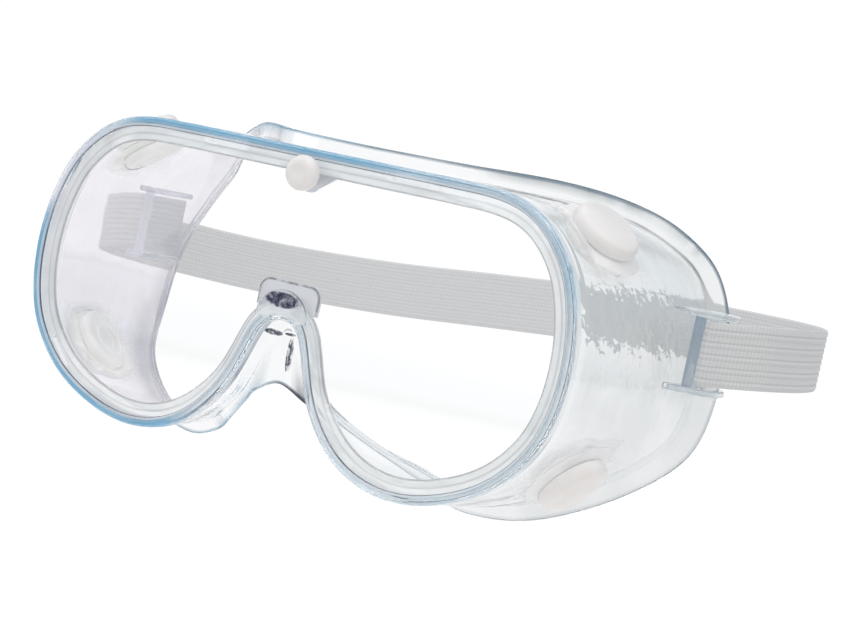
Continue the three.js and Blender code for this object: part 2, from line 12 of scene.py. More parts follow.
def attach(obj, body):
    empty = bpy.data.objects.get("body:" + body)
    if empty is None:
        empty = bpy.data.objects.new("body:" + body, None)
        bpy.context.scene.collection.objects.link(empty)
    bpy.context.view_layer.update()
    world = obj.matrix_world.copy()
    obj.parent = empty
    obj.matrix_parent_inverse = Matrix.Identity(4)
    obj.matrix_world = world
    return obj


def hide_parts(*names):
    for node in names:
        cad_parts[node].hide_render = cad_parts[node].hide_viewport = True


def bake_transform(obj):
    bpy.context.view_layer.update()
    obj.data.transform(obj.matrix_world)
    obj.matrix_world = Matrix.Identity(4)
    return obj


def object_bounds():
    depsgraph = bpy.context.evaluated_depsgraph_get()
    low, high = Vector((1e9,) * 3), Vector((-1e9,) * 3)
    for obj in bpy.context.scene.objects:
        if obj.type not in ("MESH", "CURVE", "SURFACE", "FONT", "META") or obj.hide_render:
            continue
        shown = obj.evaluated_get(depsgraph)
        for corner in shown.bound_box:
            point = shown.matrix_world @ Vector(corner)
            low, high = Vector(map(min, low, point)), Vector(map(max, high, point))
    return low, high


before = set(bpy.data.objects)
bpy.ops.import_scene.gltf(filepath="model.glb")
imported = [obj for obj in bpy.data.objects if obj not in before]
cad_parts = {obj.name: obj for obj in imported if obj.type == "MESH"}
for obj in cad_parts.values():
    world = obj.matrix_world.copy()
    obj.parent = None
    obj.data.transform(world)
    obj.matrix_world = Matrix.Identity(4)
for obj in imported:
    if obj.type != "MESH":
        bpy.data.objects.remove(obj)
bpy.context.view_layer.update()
scene = bpy.context.scene
MM = 0.001

# ------------------------------------------------------------------ measured shapes (mm)
# Rim of the lens side, (x, z), from the top middle down the +X side to the nose.
RIM = [
    (0, 40.4), (20, 40.4), (40, 40.4), (50, 40.1), (57, 38.8), (63, 36.0), (68.5, 31.2),
    (73, 24.8), (76, 17), (77.7, 8), (77.9, -1), (76.8, -9), (74.3, -16.5), (70.3, -22.8),
    (65.3, -28), (59.5, -32), (53, -35), (46, -37.1), (39, -37.9), (32, -37.1), (26, -35),
    (20.8, -31.8), (16.8, -28), (13.6, -23.9), (10.9, -19.2), (8.8, -14), (7.0, -9),
    (5.4, -5.4), (3.2, -3.1), (0, -2.3)]
# Side wall stations: rim point (x, z), flange fold (x, y, z), flange edge (x, y, z).
FACE = [
    ((0, 40.4), (0, 22.5, 39.4), (0, 24, 44.3)),
    ((22, 40.4), (24.5, 27.5, 40.0), (25, 29, 44.7)),
    ((42, 40.4), (43.5, 44, 40.8), (45.5, 46.5, 45.8)),
    ((54, 39.4), (56, 58.5, 40.0), (58.5, 60.5, 44.4)),
    ((62.5, 36.3), (66, 68.5, 36.6), (69.1, 70.5, 40.4)),
    ((69.5, 30.0), (74, 77, 30), (77.8, 80, 32.5)),
    ((75, 20), (80.3, 77, 19), (84.5, 80, 20)),
    ((77.9, 4), (83.4, 72.3, 5), (87.7, 75, 5)),
    ((75.2, -14.5), (82, 66.5, -14), (86, 69.3, -15.5)),
    ((66.5, -27), (73, 53.5, -26), (76, 56, -28.7)),
    ((54, -34.6), (57.3, 42, -35.3), (59, 44, -39)),
    ((39, -37.9), (42.5, 34.3, -37.4), (43, 36, -41.3)),
    ((28, -35.8), (32.3, 29.5, -33.8), (31.5, 31, -37.5)),
    ((19.5, -30.7), (22.8, 18.5, -29.2), (22.8, 22.5, -32.0)),
    ((12.2, -21.8), (12.4, 8.8, -21.6), (14.1, 13, -26.0)),
    ((6.7, -8.2), (4.6, 3.8, -9.6), (7.2, 6, -21.3)),
    ((0, -2.3), (0, 3.6, -4.9), (0, 4.2, -18)),
]
FOLD, EDGE = 1, 2                      # columns of FACE
# Strap centre line (x, y, z), from the +X pin round the back to the -X pin.
STRAP_PATH = [
    (89.16, 55.33, 11), (95.5, 57.5, 11.8), (102, 63, 12.8), (106, 72.5, 13.5),
    (107.3, 84.5, 14.0), (105.5, 97, 14.4), (98.5, 108.5, 14.6), (86, 116.5, 14.5),
    (67, 120.5, 14.0), (36, 121, 12.3), (0, 121, 8.9), (-36, 121, 5.2), (-68, 120.5, 3.1),
    (-88, 116.5, 2.6), (-102, 108.5, 3.0), (-110, 97, 3.9), (-113, 84.5, 5.0),
    (-112, 73, 6.5), (-106.5, 63.5, 8.3), (-97, 57.9, 10.0), (-89.16, 55.33, 11)]
# Strap tail centre line (x, y, z), beside the wall from its free end to the pin.
STRAP_TAIL = [(84.7, 70.4, 11), (85.2, 67, 11), (86.0, 62.5, 11), (86.65, 59.4, 11)]
# Outline (x, y) of the plates that hold the strap bars.
ARM = [(80.0, 50.5), (84.0, 50.8), (88.5, 52.6), (91.4, 57), (92.2, 63), (91.2, 69),
       (88.6, 73), (85.0, 73.6), (82.6, 70.6)]

WALL = 1.8                             # side wall thickness
FLANGE = 1.4                           # face flange thickness
BULGE = 0.9                            # outward swell of a deep wall
LEDGE = 6.2                            # reach of the ledge behind the lens, in from the rim
LENS_INSET = 1.3                       # lens edge, in from the rim
POST, PIN = (86.1, 54.2, 1.35), (88.6, 57.2, 1.0)      # strap bars: x, y, radius
STUD_AT, STUD_HOLE = (-1.0, 0, 34.0), 1.9              # stud place, radius of its hole
TAB_X, TAB_Z, TAB_RADIUS = 5.8, 4.3, 3.1               # rounded corners of the nose tab
# Vents on the +X side: centre and outward axis.
VENTS = {"upper": ((67.5, 24.9, 34.1), (0.56, -0.22, 0.80)),
         "lower": ((72.7, 25.2, -24.3), (0.75, -0.10, -0.655))}
VENT_BORE, VENT_HOLE = 9.2, 5.3        # radii of the pocket and of the hole through its web
WEB_LOW, WEB_HIGH = -2.2, 0.2          # faces of the web, along the vent axis


# ------------------------------------------------------------------ curves
def vec(*values):
    return np.array(values, float)


def unit(v):
    return v / np.linalg.norm(v)


def rise(x, start, end):
    """Smooth step from 0 at start to 1 at end."""
    t = np.clip((x - start) / (end - start), 0, 1)
    return t * t * (3 - 2 * t)


def hermite(t, p1, m1, p2, m2):
    return ((2 * t**3 - 3 * t**2 + 1) * p1 + (t**3 - 2 * t**2 + t) * m1
            + (-2 * t**3 + 3 * t**2) * p2 + (t**3 - t**2) * m2)


def centripetal(points, closed, per_span):
    """Centripetal Catmull-Rom curve through the points, as a dense polyline."""
    P = [np.array(p, float) for p in points]
    n = len(P)
    curve = []
    for k in range(n if closed else n - 1):
        if closed:
            p0, p1, p2, p3 = P[(k - 1) % n], P[k], P[(k + 1) % n], P[(k + 2) % n]
        else:
            p1, p2 = P[k], P[k + 1]
            p0 = P[k - 1] if k > 0 else 2 * p1 - p2
            p3 = P[k + 2] if k + 2 < n else 2 * p2 - p1
        t0, t1, t2 = (max(np.linalg.norm(b - a) ** 0.5, 1e-4)
                      for a, b in ((p0, p1), (p1, p2), (p2, p3)))
        m1 = ((p1 - p0) / t0 - (p2 - p0) / (t0 + t1) + (p2 - p1) / t1) * t1
        m2 = ((p2 - p1) / t1 - (p3 - p1) / (t1 + t2) + (p3 - p2) / t2) * t1
        curve += [hermite(i / per_span, p1, m1, p2, m2) for i in range(per_span)]
    if not closed:
        curve.append(P[-1])
    return np.array(curve)


def arc_lengths(line):
    return np.concatenate([[0], np.cumsum(np.linalg.norm(np.diff(line, axis=0), axis=1))])


def along(line, lengths, s):
    """Points of a polyline at arc length s."""
    return np.stack([np.interp(s, lengths, line[:, c]) for c in range(3)], -1)


def round_corners(corners, limit):
    """Corners (point, fillet size, points in the fillet) of a closed outline to its points.

    A fillet takes at most the given share of the side next to it.
    """
    points = []
    for i, (corner, size, count) in enumerate(corners):
        if count == 1:
            points.append(corner)
            continue
        ends = []
        for other in (corners[i - 1][0], corners[(i + 1) % len(corners)][0]):
            length = np.linalg.norm(other - corner)
            ends.append(corner + (other - corner) / length * min(size, limit * length))
        for j in range(count):
            t = j / (count - 1)
            points.append((1 - t) ** 2 * ends[0] + 2 * t * (1 - t) * corner + t * t * ends[1])
    return points


def arc(cx, cy, radius, start, end, steps):
    """Arc of (u, v) points, angles in degrees."""
    angles = [math.radians(start + (end - start) * i / steps) for i in range(steps + 1)]
    return [(cx + radius * math.cos(a), cy + radius * math.sin(a)) for a in angles]


# ------------------------------------------------------------------ rim and wall curves
RIM_STEPS = 40                         # curve points between two points of RIM
rim_loop = [(x, 0, z) for x, z in RIM] + [(-x, 0, z) for x, z in RIM[1:-1][::-1]]
rim_line = centripetal(rim_loop, True, RIM_STEPS)[: RIM_STEPS * (len(RIM) - 1) + 1]
rim_line[0][0] = rim_line[-1][0] = 0
rim_arcs = arc_lengths(rim_line)
HALF = rim_arcs[-1]                    # length of the +X half, top middle to nose


def rim_point(s):
    """Point at arc length s, which may run past either end onto the -X half."""
    folded = 2 * HALF - s if s > HALF else abs(s)
    point = along(rim_line, rim_arcs, folded)
    return point if folded == s else point * vec(-1, 1, 1)


def rim_at(s):
    """Rim point and the direction into the lens there."""
    reach = 0.9
    tangent = unit(rim_point(s + reach) - rim_point(s - reach))
    return rim_point(s), vec(tangent[2], 0, -tangent[0])


face_arcs = [rim_arcs[np.argmin(np.hypot(rim_line[:, 0] - x, rim_line[:, 2] - z))]
             for (x, z), _, _ in FACE]
face_arcs[0], face_arcs[-1] = 0.0, HALF


def face_curve(column, s):
    """Fold or edge of the flange at rim arc length s."""
    last = len(FACE) - 1

    def station(k):
        if 0 <= k <= last:
            return face_arcs[k], vec(*FACE[k][column])
        j = -k if k < 0 else 2 * last - k
        mirrored = vec(*FACE[j][column]) * vec(-1, 1, 1)
        return (-face_arcs[j] if k < 0 else 2 * HALF - face_arcs[j]), mirrored

    k = 0
    while k < last - 1 and face_arcs[k + 1] <= s:
        k += 1
    (s0, p0), (s1, p1), (s2, p2), (s3, p3) = (station(k + i) for i in (-1, 0, 1, 2))
    span = s2 - s1
    return hermite((s - s1) / span, p1, (p2 - p0) / (s2 - s0) * span,
                   p2, (p3 - p1) / (s3 - s1) * span)


def ledge_reach(s):
    """The ledge is 1 mm narrower towards the nose."""
    return LEDGE - 1.0 * rise(s / HALF, 0.82, 0.93)


def rim_stations(count):
    """Arc lengths down the half rim, closer at the nose and a third of the way round."""
    fine = 3000
    u = (np.arange(fine) + 0.5) / fine
    density = 1 + 2.2 * np.exp(-(((1 - u) / 0.09) ** 2)) + 0.6 * np.exp(-(((u - 0.33) / 0.09) ** 2))
    total = np.concatenate([[0], np.cumsum(density)])
    even = np.linspace(0, total[-1], count + 1)
    return np.interp(even, total, np.arange(fine + 1) / fine) * HALF


STATIONS = rim_stations(130)


# ------------------------------------------------------------------ meshes
def fix_normals(mesh):
    bm = bmesh.new()
    bm.from_mesh(mesh)
    bmesh.ops.remove_doubles(bm, verts=bm.verts, dist=1e-7)
    bmesh.ops.recalc_face_normals(bm, faces=bm.faces)
    if bm.calc_volume(signed=True) < 0:
        bmesh.ops.reverse_faces(bm, faces=bm.faces)
    bm.to_mesh(mesh)
    bm.free()
    mesh.update()


def mesh_from(name, bm):
    mesh = bpy.data.meshes.new(name)
    bm.to_mesh(mesh)
    bm.free()
    fix_normals(mesh)
    return mesh


def loft(name, rings, capped):
    """Quads over closed rings: a capped rod, or a loop that joins its last ring to its first."""
    rings = np.array(rings, float)
    n, m = rings.shape[:2]
    faces = []
    for i in range(n - 1 if capped else n):
        a, b = i * m, (i + 1) % n * m
        faces += [(a + j, a + (j + 1) % m, b + (j + 1) % m, b + j) for j in range(m)]
    if capped:
        faces.append(tuple(range(m))[::-1])
        faces.append(tuple((n - 1) * m + j for j in range(m)))
    mesh = bpy.data.meshes.new(name)
    mesh.from_pydata((rings.reshape(-1, 3) * MM).tolist(), [], faces)
    fix_normals(mesh)
    return mesh


def axis_frame(at, axis):
    """Frame in mm with its origin at a point and +Z along an axis."""
    turn = Vector((0, 0, 1)).rotation_difference(Vector(axis).normalized())
    return Matrix.Translation(Vector(at)) @ turn.to_matrix().to_4x4()


def in_metres(frame):
    scaled = frame.copy()
    scaled.translation = scaled.translation * MM
    return scaled


def lathe(name, profile, frame, segments):
    """Profile of (radius, height[, fillet, fillet points]) turned about the frame's +Z.

    It starts and ends on the axis, where it is closed.
    """
    corners = [(vec(*c[:2]), *(c[2:] or (0, 1))) for c in profile]
    turns = [2 * math.pi * i / segments for i in range(segments)]
    bm = bmesh.new()
    rings = []
    for r, h in round_corners(corners, limit=0.45):
        if r < 1e-6:
            rings.append([bm.verts.new((0, 0, h * MM))])
        else:
            rings.append([bm.verts.new((r * MM * math.cos(a), r * MM * math.sin(a), h * MM))
                          for a in turns])
    for a, b in zip(rings, rings[1:]):
        for i in range(segments):
            j = (i + 1) % segments
            quad = [a[i % len(a)], a[j % len(a)], b[j % len(b)], b[i % len(b)]]
            quad = list(dict.fromkeys(quad))
            if len(quad) > 2:
                bm.faces.new(quad)
    mesh = mesh_from(name, bm)
    mesh.transform(in_metres(frame))
    return mesh


def cylinder(radius, low, high, frame, segments):
    profile = [(0, low), (radius, low), (radius, high), (0, high)]
    return lathe("cylinder", profile, frame, segments)


def plate(name, outline, low, high, plane="XZ", bevel=0.0, segments=3):
    """Flat plate with rounded edges; low and high are along the axis across the plane."""
    bm = bmesh.new()

    def side(w):
        return [bm.verts.new((u * MM, w * MM, v * MM) if plane == "XZ" else
                             (u * MM, v * MM, w * MM)) for u, v in outline]

    a, b = side(low), side(high)
    n = len(a)
    flats = bm.faces.new(a), bm.faces.new(b[::-1])
    for i in range(n):
        bm.faces.new([a[i], b[i], b[(i + 1) % n], a[(i + 1) % n]])
    bmesh.ops.recalc_face_normals(bm, faces=bm.faces)
    if bevel:
        bmesh.ops.bevel(bm, geom=list(flats[0].edges) + list(flats[1].edges),
                        offset=bevel * MM, segments=segments, profile=0.5, affect="EDGES",
                        clamp_overlap=True)
    return mesh_from(name, bm)


def rectangle(u0, u1, v0, v1):
    return [(u0, v0), (u1, v0), (u1, v1), (u0, v1)]


# ------------------------------------------------------------------ objects
def add_object(name, mesh):
    ob = bpy.data.objects.new(name, mesh)
    scene.collection.objects.link(ob)
    return ob


def shade(mesh, sharp_angle):
    """Smooth shading, with edges sharp above an angle in degrees."""
    mesh.polygons.foreach_set("use_smooth", [True] * len(mesh.polygons))
    mesh.set_sharp_from_angle(angle=math.radians(sharp_angle))


def combine(ob, mesh, operation):
    """Apply a boolean of the object with a mesh."""
    other = add_object("cut", mesh)
    modifier = ob.modifiers.new("b", "BOOLEAN")
    modifier.operation = operation
    modifier.object = other
    # Guards builds of Blender that lack the manifold solver.
    try:
        modifier.solver = "MANIFOLD"
    except TypeError:
        modifier.solver = "EXACT"
    bpy.context.view_layer.update()
    graph = bpy.context.evaluated_depsgraph_get()
    result = bpy.data.meshes.new_from_object(ob.evaluated_get(graph))
    ob.modifiers.clear()
    if len(result.polygons) == 0:
        raise RuntimeError("boolean gave nothing")
    old = ob.data
    ob.data = result
    bpy.data.meshes.remove(old)
    bpy.data.objects.remove(other)


def add_to(ob, mesh):
    combine(ob, mesh, "UNION")


def cut_from(ob, mesh):
    combine(ob, mesh, "DIFFERENCE")


def register(ob, ride, replaces):
    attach(ob, ride)
    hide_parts(replaces)


stud_frame = axis_frame(STUD_AT, (0, -1, 0))
vent_frames = {}
for level, (at, axis) in VENTS.items():
    for side, sx in (("left", 1), ("right", -1)):
        vent_frames[level + "_" + side] = axis_frame((sx * at[0], *at[1:]),
                                                     (sx * axis[0], *axis[1:]))


def cut_stud_hole(ob):
    cut_from(ob, cylinder(STUD_HOLE, -6, 4, stud_frame, 40))


# ------------------------------------------------------------------ goggle body
# Corners of the lip: distance in from the rim, y, fillet size, points in the fillet.
LIP = [
    (0, 2.6, 0.6, 4), (0, -0.2, 0.9, 5), (0.6, -1.3, 0.5, 4), (1.6, -1.7, 0.5, 4),
    (2.6, -1.0, 0.3, 4), (2.6, -0.5, 0.1, 2), (0.95, -0.5, 0.1, 2), (0.95, 1.1, 0.1, 2),
    (3.85, 1.1, 0, 1), (4.05, 1.1, 0, 1), (4.35, 1.1, 0, 1), (4.55, 1.1, 0, 1)]


def body_ring(s):
    """Closed section of lip, ledge, wall and face flange at rim arc length s."""
    rim, inward = rim_at(s)

    def at(depth, y):
        return vec(rim[0] + inward[0] * depth, y, rim[2] + inward[2] * depth)

    start = at(0.9, 3.4)
    fold, edge = face_curve(FOLD, s), face_curve(EDGE, s)
    run = unit(fold - start)
    lean = inward + vec(0, 0.35, 0)
    wall_in = unit(lean - run * (lean @ run))
    out = unit(edge - fold)
    back = unit(vec(0, 1, 0) - out * out[1])
    swell = min(1, np.linalg.norm(fold - start) / 30) * BULGE
    ledge = ledge_reach(s)
    miter = (wall_in + back) / (1 + wall_in @ back)

    def outer(t):
        return start + (fold - start) * t - wall_in * swell * math.sin(math.pi * t)

    def inner(t):
        return outer(t) + wall_in * WALL

    corners = [(start, 0.35, 3)]
    corners += [(at(depth, y), size, count) for depth, y, size, count in LIP]
    corners += [(at(ledge - 0.6, 1.1), 0, 1), (at(ledge, 1.1), 0.3, 3),
                (at(ledge, 2.3), 0.45, 4), (inner(0.06), 0.9, 4)]
    corners += [(inner(t), 0, 1) for t in (0.2, 0.35, 0.5, 0.65, 0.8)]
    corners += [
        (fold + miter * (WALL + FLANGE) / 2, 1.3, 6),
        (edge + back * FLANGE - out * 0.8, 0, 1), (edge + back * FLANGE, 0.55, 4),
        (edge + back * FLANGE / 2 + out * 0.35, 0.3, 3),
        (edge, 0.55, 4), (edge - out * 0.8, 0, 1), (fold, 1.8, 7)]
    corners += [(outer(t), 0, 1) for t in (0.85, 0.7, 0.55, 0.4, 0.25, 0.12)]
    return round_corners(corners, limit=0.42)


def add_tabs(body):
    # nose tab with rounded corners
    width = TAB_X + TAB_RADIUS
    outline = ([(-width, 0.2), (width, 0.2)] + arc(TAB_X, TAB_Z, TAB_RADIUS, 0, 90, 10)
               + arc(-TAB_X, TAB_Z, TAB_RADIUS, 90, 180, 10))
    add_to(body, plate("tab", outline, 1.1, 2.3, bevel=0.35))
    # half disc in front of it
    add_to(body, plate("tab", arc(0, -2.2, 7.4, 0, 180, 40), -1.6, -0.45, bevel=0.35))
    # tab under the top rim that takes the lens stud
    outline = ([(7.6, 36.5), (-9.6, 36.5), (-8.0, 34.2)]
               + arc(STUD_AT[0], 32.4, 2.7, 215, 325, 12) + [(6.0, 34.2)])
    add_to(body, plate("tab", outline, 1.1, 2.8, bevel=0.35))


def cut_slots(body):
    """On each side, a straight slot through the top of the ledge and two tilted ones."""
    length, depth, width = 9, 2.2, 1.5
    for sx in (-1, 1):
        x0, x1 = sorted((sx * 21.4, sx * 32.4))
        cut_from(body, plate("slot", rectangle(x0, x1, 36.9, 39.2), 0.9, 2.9))
        for x, z, tilt in ((72.3, 21.6, -70), (64.6, -24.6, 48)):
            outline = rectangle(-length / 2, length / 2, -width / 2, width / 2)
            slot = plate("slot", outline, -depth / 2, depth / 2)
            slot.transform(Matrix.Translation((sx * x * MM, 1.9 * MM, z * MM))
                           @ Matrix.Rotation(math.radians(-sx * tilt), 4, "Y"))
            cut_from(body, slot)


def add_vent_bosses(body):
    boss = [(0, WEB_LOW), (9.4, WEB_LOW, 0.5, 4), (12.3, -1.0, 0.8, 5),
            (9.4, WEB_HIGH, 0.5, 4), (0, WEB_HIGH)]
    for frame in vent_frames.values():
        add_to(body, lathe("boss", boss, frame, 96))
        cut_from(body, cylinder(VENT_BORE, WEB_HIGH, 9, frame, 96))
        cut_from(body, cylinder(VENT_BORE, -9, WEB_LOW, frame, 96))
        cut_from(body, cylinder(VENT_HOLE, -12, 6, frame, 64))


def add_strap_mounts(body):
    """Two plates on each side with the two strap bars between them."""
    for sx in (-1, 1):
        outline = [tuple(p) for p in centripetal([(sx * x, y) for x, y in ARM], False, 5)]
        for low, high in ((19.9, 21.5), (0.5, 2.1)):
            add_to(body, plate("arm", outline, low, high, "XY", bevel=0.4))
        for x, y, radius in (POST, PIN):
            frame = axis_frame((sx * x, y, 0), (0, 0, 1))
            add_to(body, cylinder(radius, 1.2, 20.8, frame, 40))


def points_mm(mesh):
    co = np.empty(len(mesh.vertices) * 3, np.float32)
    mesh.vertices.foreach_get("co", co)
    return co.reshape(-1, 3).astype(float) / MM


def vent_distances(points, frame):
    """Radius from a vent's axis and height along it."""
    at, axis = np.array(frame.translation), np.array(frame.to_3x3() @ Vector((0, 0, 1)))
    height = (points - at) @ axis
    return np.linalg.norm(points - at - height[:, None] * axis, axis=1), height


def sharpen_bosses(mesh):
    """Crisp edges where the vent bosses rise out of the wall."""
    points = points_mm(mesh)
    near = np.zeros(len(points), bool)
    for frame in vent_frames.values():
        radius, height = vent_distances(points, frame)
        near |= between(radius, 9.0, 13.2) & (np.abs(height) < 4.5)
    bm = bmesh.new()
    bm.from_mesh(mesh)
    for edge in bm.edges:
        if (near[edge.verts[0].index] and near[edge.verts[1].index]
                and len(edge.link_faces) == 2 and edge.calc_face_angle(0) > math.radians(11)):
            edge.smooth = False
    bm.to_mesh(mesh)
    bm.free()


def fall(x, start, end):
    return 1 - rise(x, start, end)


def bell(x, centre, width):
    return np.exp(-((x - centre) / width) ** 2)


def between(x, low, high):
    return (x > low) & (x < high)


def body_distances(points):
    """Per point: depth in from the rim, distance to flange edge and fold, nearest rim arc."""
    arcs = np.linspace(0, HALF, 420)
    rim, inward = (np.array(part) for part in zip(*map(rim_at, arcs)))
    fold, edge = (np.array([face_curve(col, s) for s in arcs]) for col in (FOLD, EDGE))
    out = edge - fold
    out /= np.linalg.norm(out, axis=1)[:, None]
    back = vec(0, 1, 0) - out * out[:, 1:2]
    back /= np.linalg.norm(back, axis=1)[:, None]
    middle = edge + back * FLANGE / 2 + out * 0.1
    folded = points.copy()
    folded[:, 0] = np.abs(folded[:, 0])
    depth, to_edge, to_fold, nearest = np.empty((4, len(points)))
    # in chunks, to bound the memory
    for first in range(0, len(points), 4000):
        part = slice(first, first + 4000)
        q = folded[part]
        k = ((q[:, None, ::2] - rim[None, :, ::2]) ** 2).sum(2).argmin(1)
        nearest[part] = arcs[k]
        depth[part] = ((q - rim[k]) * inward[k])[:, ::2].sum(1)
        to_edge[part] = np.sqrt(((q[:, None, :] - middle[None]) ** 2).sum(2).min(1))
        to_fold[part] = np.sqrt(((q[:, None, :] - fold[None]) ** 2).sum(2).min(1))
    return depth, to_edge, to_fold, nearest


def paint_zones(mesh):
    """Colour and strength of the haze, painted shade and painted highlights in each zone, kept on
    the points for the material.
    """
    points = points_mm(mesh)
    depth, to_edge, to_fold, nearest = body_distances(points)
    x, y, z = points.T
    colour, strength = np.full((len(points), 3), 0.86), np.zeros(len(points))

    def over(weight, rgb):
        nonlocal colour, strength
        total = 1 - (1 - strength) * (1 - weight)
        share = (weight / np.maximum(total, 1e-6))[:, None]
        colour = colour * (1 - share) + np.array(rgb) * share
        strength = total

    # walls: grey-green on +X, lavender on -X, and a band of painted shade near the -X flange
    wall = rise(y, 3.6, 9)
    over((0.17 - 0.11 * rise(z, 4, 20)) * wall * rise(x, 30, 62), (0.50, 0.505, 0.50))
    over(0.14 * wall * rise(to_edge, 3, 9) * fall(x, -62, -30), (0.72, 0.665, 0.72))
    over(0.34 * wall * bell(to_edge, 8, 4) * fall(x, -62, -40) * fall(z, -8, 12),
         (0.30, 0.29, 0.33))
    # ledge behind the lens
    over(0.68 * (between(y, 0.9, 3.2) & (depth > 0.8)), (0.90, 0.90, 0.885))
    # lip: long blue patches, a pale outside, a painted highlight along the tip, and a painted dark
    # reflection as a line inside the tip
    blue = (0.05 + 0.48 * rise(z, 25, 33) * rise(x, -62, -50) * fall(x, 5, 45)
            + 0.16 * rise(x, 25, 40) * rise(z, 12, 22))
    blue = blue + 0.66 * fall(x, -33, -17) * fall(z, 8, 16) - 0.25 * bell(z, -9, 2.0) * (x < -60)
    over(blue * ((depth < 0.8) | (y < 0.9)) * fall(depth, 1.55, 1.95) * fall(y, 1.5, 3.2),
         (0.17, 0.43, 0.63))
    over(0.3 * ((depth < 0.8) & between(y, -0.4, 3.6)) * rise(x, 15, 50), (0.88, 0.88, 0.88))
    over(0.35 * (between(depth, 1.8, 2.45) & (y < -0.6)), (0.97, 0.97, 0.98))
    over(0.62 * (between(depth, 2.45, 2.8) & between(y, -1.2, -0.3)), (0.07, 0.08, 0.11))
    # painted shade: a dark inner edge of the ledge, and a grey line along its front
    at_ledge = np.abs(depth - ledge_reach(nearest)) < 0.35
    over(0.55 * (at_ledge & between(y, 1.0, 1.6)), (0.17, 0.17, 0.19))
    over(0.4 * (between(depth, 3.97, 4.43) & between(y, 1.0, 1.2)), (0.33, 0.33, 0.35))
    # painted dark edge of the face flange, blue in part, and two painted dark strokes along its
    # fold
    rimmed = fall(to_edge, 0.8, 1.0)
    over(rimmed * (0.14 + 0.42 * rise(x, -30, 10) * rise(z, 0, 25)), (0.10, 0.17, 0.23))
    over(rimmed * 0.35 * rise(x, -62, -50) * fall(x, -20, 10), (0.30, 0.52, 0.66))
    over(0.7 * rimmed * bell(x, 5, 5.5) * between(z, -30, -15), (0.05, 0.05, 0.08))
    over(0.68 * fall(to_fold, 0.35, 0.8) * (x > 0) * (z > 15)
         * (bell(x, 61, 2.2) + bell(x, 73.5, 3.0)), (0.03, 0.03, 0.04))
    # round the vents
    for frame in vent_frames.values():
        radius, height = vent_distances(points, frame)
        over(0.88 * fall(radius, 11.2, 12.6) * (np.abs(height) < 4),
             (0.90, 0.89, 0.83) if frame.translation[0] < 0 else (0.96, 0.93, 0.915))
    # strap bars and the plates that hold them, toned apart by side: painted shade darkens the +X
    # bars and the -X top plate, painted light pales the -X bars, the +X plates and the -X bottom
    # plate
    off = np.abs(x)
    free = between(z, 1.7, 20.3)
    posts = (np.hypot(off - POST[0], y - POST[1]) < POST[2] + 0.2) & free
    arms = between(y, 50, 74.5)
    over(0.5 * (posts & (x > 0)), (0.28, 0.36, 0.44))
    over(0.5 * (posts & (x < 0)), (0.92, 0.92, 0.94))
    over(0.35 * ((off > 83) & arms & ~free & between(z, 0, 22) & ((x > 0) | (z < 10))),
         (0.86, 0.90, 0.93))
    over(0.3 * ((x < -83) & arms & between(z, 19.5, 22)), (0.45, 0.47, 0.56))
    # painted shade greys the nose tab and the top tab, and the two straight slots in the ledge are
    # painted white as a painted highlight
    over(0.42 * ((off < 9.2) & between(z, 0.4, 7.8) & between(y, 1.0, 2.4)), (0.52, 0.52, 0.57))
    over(0.28 * (between(x, -10, 8) & between(z, 29, 35.5) & between(y, 1.0, 2.9)),
         (0.36, 0.41, 0.50))
    over(0.97 * (between(off, 20.9, 32.9) & between(z, 36.4, 39.7) & between(y, 0.7, 3.1)),
         (1.0, 1.0, 1.0))
    zone = mesh.attributes.new("zone", "FLOAT_COLOR", "POINT")
    rgba = np.column_stack([colour, strength]).astype(np.float32)
    zone.data.foreach_set("color", rgba.ravel())


def build_body():
    rings = [np.array(body_ring(s)) for s in STATIONS]
    for k in (0, -1):
        rings[k][:, 0] = 0
    rings += [ring * vec(-1, 1, 1) for ring in rings[1:-1][::-1]]
    body = add_object("goggle_body_soft", loft("goggle_body_soft", rings, capped=False))
    add_tabs(body)
    cut_stud_hole(body)
    cut_slots(body)
    add_vent_bosses(body)
    add_strap_mounts(body)
    shade(body.data, 38)
    sharpen_bosses(body.data)
    paint_zones(body.data)
    weighted = body.modifiers.new("weighted", "WEIGHTED_NORMAL")
    weighted.keep_sharp = True
    weighted.weight = 50
    register(body, "frame", "goggle_body")
    return body


# ------------------------------------------------------------------ lens and stud
def build_lens():
    half = []
    for s in STATIONS:
        rim, inward = rim_at(s)
        half.append((rim[0] + inward[0] * LENS_INSET, rim[2] + inward[2] * LENS_INSET))
    half[0] = (0, half[0][1])
    half[-1] = (0, half[-1][1])
    outline = half + [(-x, z) for x, z in half[1:-1][::-1]]
    mesh = plate("lens_sheet", outline, -0.2, 0.8, bevel=0.12, segments=2)
    lens = add_object("lens_sheet", mesh)
    shade(lens.data, 35)
    cut_stud_hole(lens)
    lens.data.set_sharp_from_angle(angle=math.radians(50))
    # the two flat sides stay flat
    for face in lens.data.polygons:
        face.use_smooth = abs(face.normal.y) < 0.999
    register(lens, "frame", "lens")
    return lens


def build_stud():
    stud = add_object("lens_stud_knob", lathe("lens_stud_knob", [
        (0, -5.2), (1.0, -5.2, 0.3, 3), (1.5, -4.5, 0.3, 3), (1.5, 0.5, 0.15, 2),
        (2.9, 0.5, 0.2, 3), (2.9, 2.0, 0.2, 3), (4.2, 2.0, 0.4, 4), (4.4, 2.5, 0.4, 4),
        (4.4, 4.1, 0.9, 6), (3.4, 5.25, 0.9, 5), (2.2, 5.5, 0.8, 4), (1.2, 5.3, 0.5, 3),
        (0, 5.25)], stud_frame, 72))
    shade(stud.data, 35)
    register(stud, "stud", "lens_stud")
    return stud


